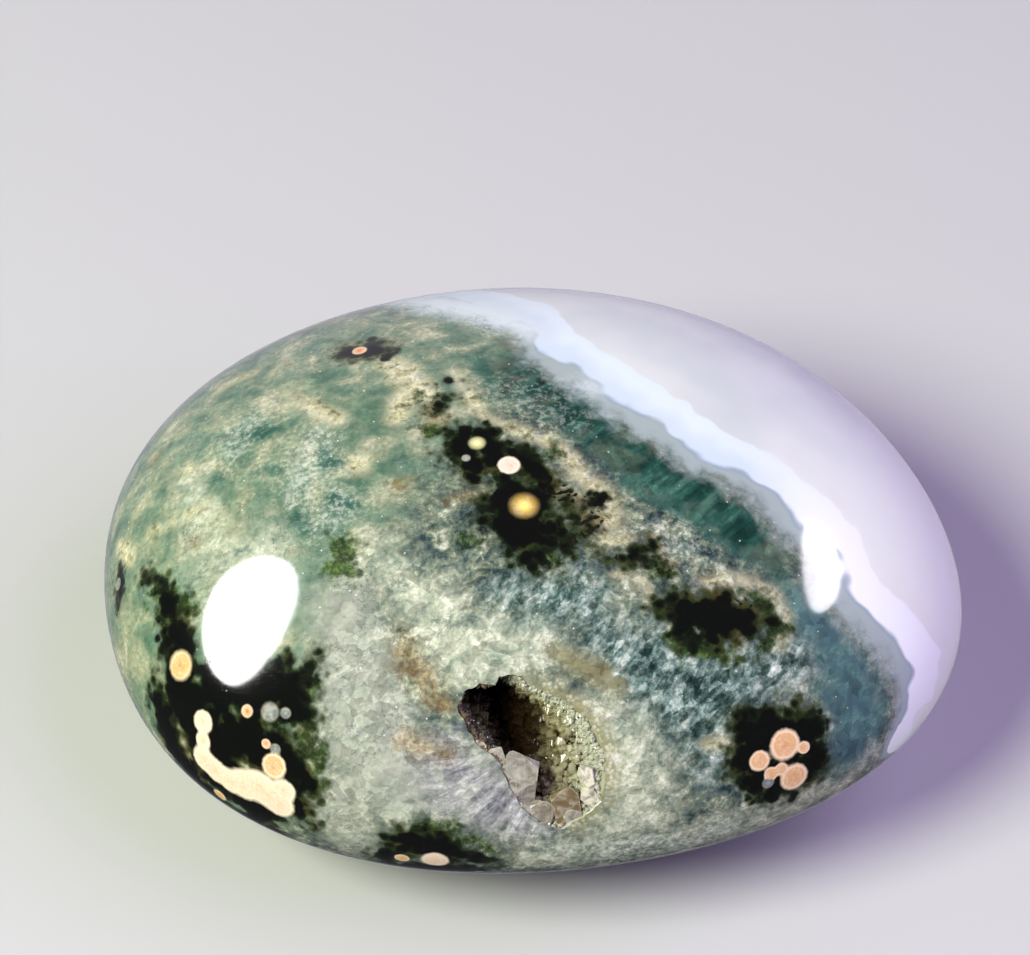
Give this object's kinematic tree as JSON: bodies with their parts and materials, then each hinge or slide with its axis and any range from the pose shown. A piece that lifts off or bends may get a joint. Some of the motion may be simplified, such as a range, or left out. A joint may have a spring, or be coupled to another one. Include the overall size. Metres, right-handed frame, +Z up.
{
  "type": "ocean jasper palm stone",
  "caption": "Polished oval pebble of orbicular jasper, rounded all over, resting on a slightly flattened underside, with an open crystal-lined vug in its front shoulder.",
  "frame": {"origin": "on the surface the stone rests on, under the middle of its bounding box", "axes": "+X along the long axis towards the lavender end, +Y to the back, away from the vug, +Z up"},
  "size_m": [0.068, 0.056, 0.03],
  "materials": {
    "ocean_jasper": "high polish; grey-green and lavender chalcedony with a white wavy band, dark moss clouds and cream orbs",
    "quartz_crystal": "natural flat crystal faces; clear to smoky quartz with brown iron staining"
  },
  "bodies": {
    "root": {"palm_stone": "ocean_jasper", "druzy_quartz_crust": "quartz_crystal"}
  },
  "joints": []
}
